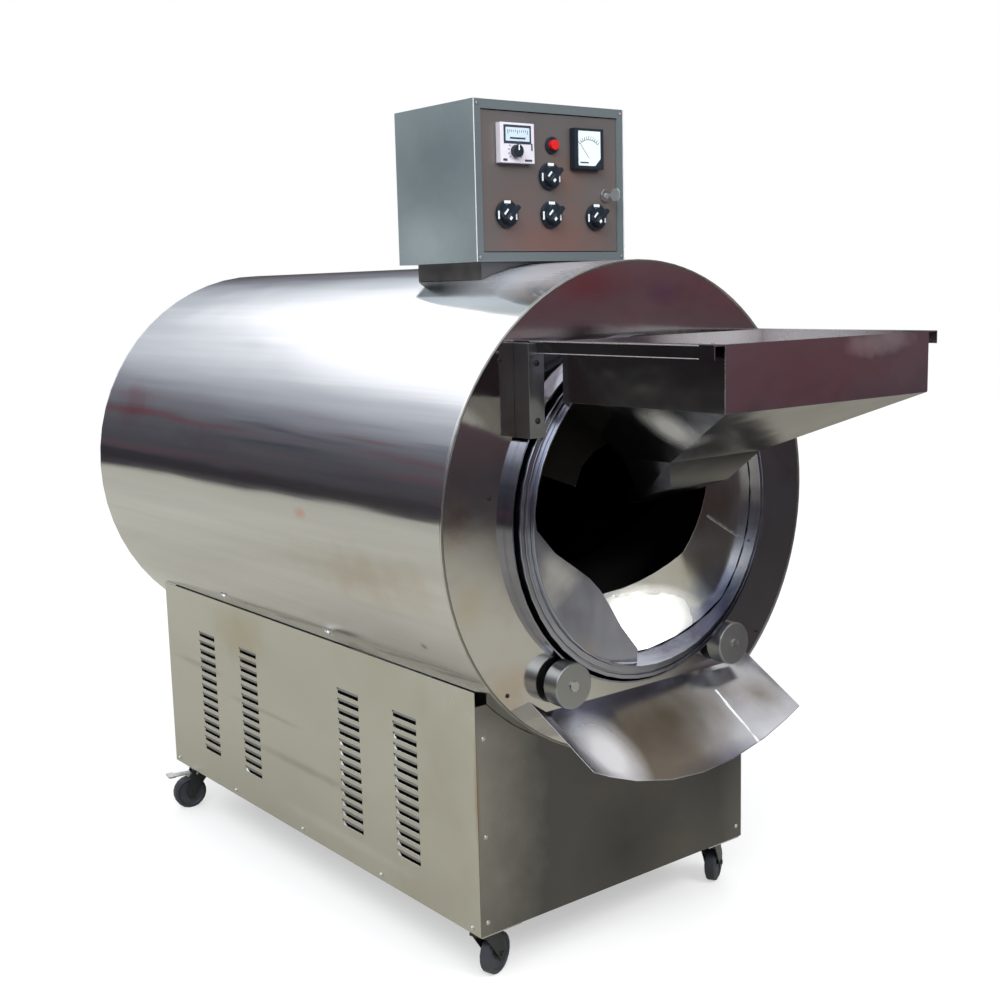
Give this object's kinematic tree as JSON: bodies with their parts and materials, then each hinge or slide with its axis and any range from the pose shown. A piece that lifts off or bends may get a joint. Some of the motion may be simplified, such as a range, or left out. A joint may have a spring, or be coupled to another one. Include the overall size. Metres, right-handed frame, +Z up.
{
  "type": "rotary drum roaster",
  "caption": "Floor-standing rotary drum roaster: round steel shell on a wheeled cabinet, open mouth with a hopper above and a chute below, control box on top.",
  "frame": {"origin": "on the floor, under the middle of the machine's bounding box", "axes": "+Z up, +Y along the drum from the mouth to the rear, +X to the right of someone who faces the mouth"},
  "size_m": [0.85, 1.786, 1.514],
  "materials": {
    "sheet_steel": "polished stainless sheet",
    "frame_steel": "mill finish, darkened",
    "plated_steel": "zinc plated",
    "caster_metal": "black plated",
    "cast_parts": "cast, turned faces",
    "motor_paint": "semi-gloss paint",
    "mineral_wool": "matt fibre",
    "belt_rubber": "matt",
    "wheel_rubber": "satin",
    "black_plastic": "satin",
    "pale_plastic": "satin",
    "red_plastic": "gloss"
  },
  "bodies": {
    "cabinet": {"base_frame": "frame_steel", "left_side_panel": "sheet_steel", "right_side_panel": "sheet_steel", "front_base_panel": "sheet_steel", "rear_base_panel": "sheet_steel", "cable_inlet_gland": "black_plastic", "outer_shell": "sheet_steel", "front_ring_plate": "sheet_steel", "rear_end_plate": "sheet_steel", "heat_liner": "frame_steel", "insulation_jacket": "mineral_wool", "heater_bank": "frame_steel", "left_roller_axle": "plated_steel", "right_roller_axle": "plated_steel", "gear_motor": "motor_paint", "drive_belt": "belt_rubber", "rear_bearing_housing": "cast_parts", "hopper_tray": "sheet_steel", "hopper_funnel": "sheet_steel", "left_hopper_bracket": "frame_steel", "right_hopper_bracket": "frame_steel", "discharge_chute": "sheet_steel", "control_box_case": "sheet_steel", "control_box_plinth": "frame_steel"},
    "drum": {"drum_barrel": "sheet_steel", "drum_tyre": "sheet_steel", "drum_flight_1": "sheet_steel", "drum_flight_2": "sheet_steel", "drum_flight_3": "sheet_steel", "rear_shaft": "plated_steel", "driven_pulley": "cast_parts"},
    "left_roller": {"left_support_roller": "sheet_steel"},
    "right_roller": {"right_support_roller": "sheet_steel"},
    "motor_pulley": {"motor_pulley": "cast_parts"},
    "door": {"control_door": "sheet_steel", "temperature_controller": "pale_plastic", "ammeter": "black_plastic", "button_collar": "black_plastic", "switch_body_1": "black_plastic", "switch_body_2": "black_plastic", "switch_body_3": "black_plastic", "switch_body_4": "black_plastic", "lock_barrel": "plated_steel"},
    "knob_1": {"switch_knob_1": "black_plastic"},
    "knob_2": {"switch_knob_2": "black_plastic"},
    "knob_3": {"switch_knob_3": "black_plastic"},
    "knob_4": {"switch_knob_4": "black_plastic"},
    "set_knob": {"temperature_knob": "black_plastic"},
    "button": {"red_button": "red_plastic"},
    "key": {"lock_key": "plated_steel"},
    "front_left_fork": {"front_left_caster_fork": "caster_metal"},
    "front_left_wheel": {"front_left_caster_wheel": "wheel_rubber"},
    "front_right_fork": {"front_right_caster_fork": "caster_metal"},
    "front_right_wheel": {"front_right_caster_wheel": "wheel_rubber"},
    "rear_left_fork": {"rear_left_caster_fork": "caster_metal"},
    "rear_left_wheel": {"rear_left_caster_wheel": "wheel_rubber"},
    "rear_left_pedal": {"rear_left_brake_pedal": "plated_steel"},
    "rear_right_fork": {"rear_right_caster_fork": "caster_metal"},
    "rear_right_wheel": {"rear_right_caster_wheel": "wheel_rubber"},
    "rear_right_pedal": {"rear_right_brake_pedal": "plated_steel"}
  },
  "joints": [
    {"name": "drum_spin", "type": "hinge", "parent": "cabinet", "child": "drum", "pos_m": [0, 0.665, 0.812], "axis": [0, 1, 0], "continuous": true},
    {"name": "left_roller_spin", "type": "hinge", "parent": "cabinet", "child": "left_roller", "pos_m": [-0.19473, -0.511, 0.54397], "axis": [0, 1, 0], "continuous": true},
    {"name": "right_roller_spin", "type": "hinge", "parent": "cabinet", "child": "right_roller", "pos_m": [0.19473, -0.511, 0.54397], "axis": [0, 1, 0], "continuous": true},
    {"name": "motor_pulley_spin", "type": "hinge", "parent": "cabinet", "child": "motor_pulley", "pos_m": [0, 0.725, 0.225], "axis": [0, 1, 0], "continuous": true},
    {"name": "door_hinge", "type": "hinge", "parent": "cabinet", "child": "door", "pos_m": [-0.1544, -0.263, 1.377], "axis": [0, 0, -1], "range_deg": [0, 100]},
    {"name": "switch_1_turn", "type": "hinge", "parent": "door", "child": "knob_1", "pos_m": [-0.006, -0.2726, 1.389], "axis": [0, 1, 0], "range_deg": [-90, 0]},
    {"name": "switch_2_turn", "type": "hinge", "parent": "door", "child": "knob_2", "pos_m": [-0.106, -0.2726, 1.322], "axis": [0, 1, 0], "range_deg": [-90, 0]},
    {"name": "switch_3_turn", "type": "hinge", "parent": "door", "child": "knob_3", "pos_m": [-0.004, -0.2726, 1.322], "axis": [0, 1, 0], "range_deg": [-90, 0]},
    {"name": "switch_4_turn", "type": "hinge", "parent": "door", "child": "knob_4", "pos_m": [0.104, -0.2726, 1.319], "axis": [0, 1, 0], "range_deg": [-90, 0]},
    {"name": "temperature_turn", "type": "hinge", "parent": "door", "child": "set_knob", "pos_m": [-0.092, -0.2793, 1.428], "axis": [0, 1, 0], "range_deg": [0, 270]},
    {"name": "button_press", "type": "slide", "parent": "door", "child": "button", "axis": [0, 1, 0], "range_m": [0, 0.004], "stiffness_N_per_m": 400},
    {"name": "lock_turn", "type": "hinge", "parent": "door", "child": "key", "pos_m": [0.13, -0.269, 1.358], "axis": [0, 1, 0], "range_deg": [0, 90]},
    {"name": "front_left_swivel", "type": "hinge", "parent": "cabinet", "child": "front_left_fork", "pos_m": [-0.285, -0.383, 0.09], "axis": [0, 0, 1], "continuous": true},
    {"name": "front_left_roll", "type": "hinge", "parent": "front_left_fork", "child": "front_left_wheel", "pos_m": [-0.25493, -0.37206, 0.03704], "axis": [-0.342, 0.9397, 0], "continuous": true},
    {"name": "front_right_swivel", "type": "hinge", "parent": "cabinet", "child": "front_right_fork", "pos_m": [0.285, -0.383, 0.09], "axis": [0, 0, 1], "continuous": true},
    {"name": "front_right_roll", "type": "hinge", "parent": "front_right_fork", "child": "front_right_wheel", "pos_m": [0.31271, -0.367, 0.03704], "axis": [-0.5, 0.866, 0], "continuous": true},
    {"name": "rear_left_swivel", "type": "hinge", "parent": "cabinet", "child": "rear_left_fork", "pos_m": [-0.285, 0.711, 0.09], "axis": [0, 0, 1], "continuous": true},
    {"name": "rear_left_roll", "type": "hinge", "parent": "rear_left_fork", "child": "rear_left_wheel", "pos_m": [-0.31651, 0.71656, 0.03704], "axis": [-0.1736, -0.9848, 0], "continuous": true},
    {"name": "rear_left_brake", "type": "hinge", "parent": "rear_left_fork", "child": "rear_left_pedal", "pos_m": [-0.30076, 0.71378, 0.0827], "axis": [-0.1736, -0.9848, 0], "range_deg": [-15, 0]},
    {"name": "rear_right_swivel", "type": "hinge", "parent": "cabinet", "child": "rear_right_fork", "pos_m": [0.285, 0.711, 0.09], "axis": [0, 0, 1], "continuous": true},
    {"name": "rear_right_roll", "type": "hinge", "parent": "rear_right_fork", "child": "rear_right_wheel", "pos_m": [0.301, 0.73871, 0.03704], "axis": [-0.866, 0.5, 0], "continuous": true},
    {"name": "rear_right_brake", "type": "hinge", "parent": "rear_right_fork", "child": "rear_right_pedal", "pos_m": [0.293, 0.72486, 0.0827], "axis": [-0.866, 0.5, 0], "range_deg": [-15, 0]}
  ],
  "couplings": [
    {"joint": "left_roller_spin", "follows": "drum_spin", "ratio": -7.4865},
    {"joint": "right_roller_spin", "follows": "drum_spin", "ratio": -7.4865},
    {"joint": "motor_pulley_spin", "follows": "drum_spin", "ratio": 3.3333}
  ]
}
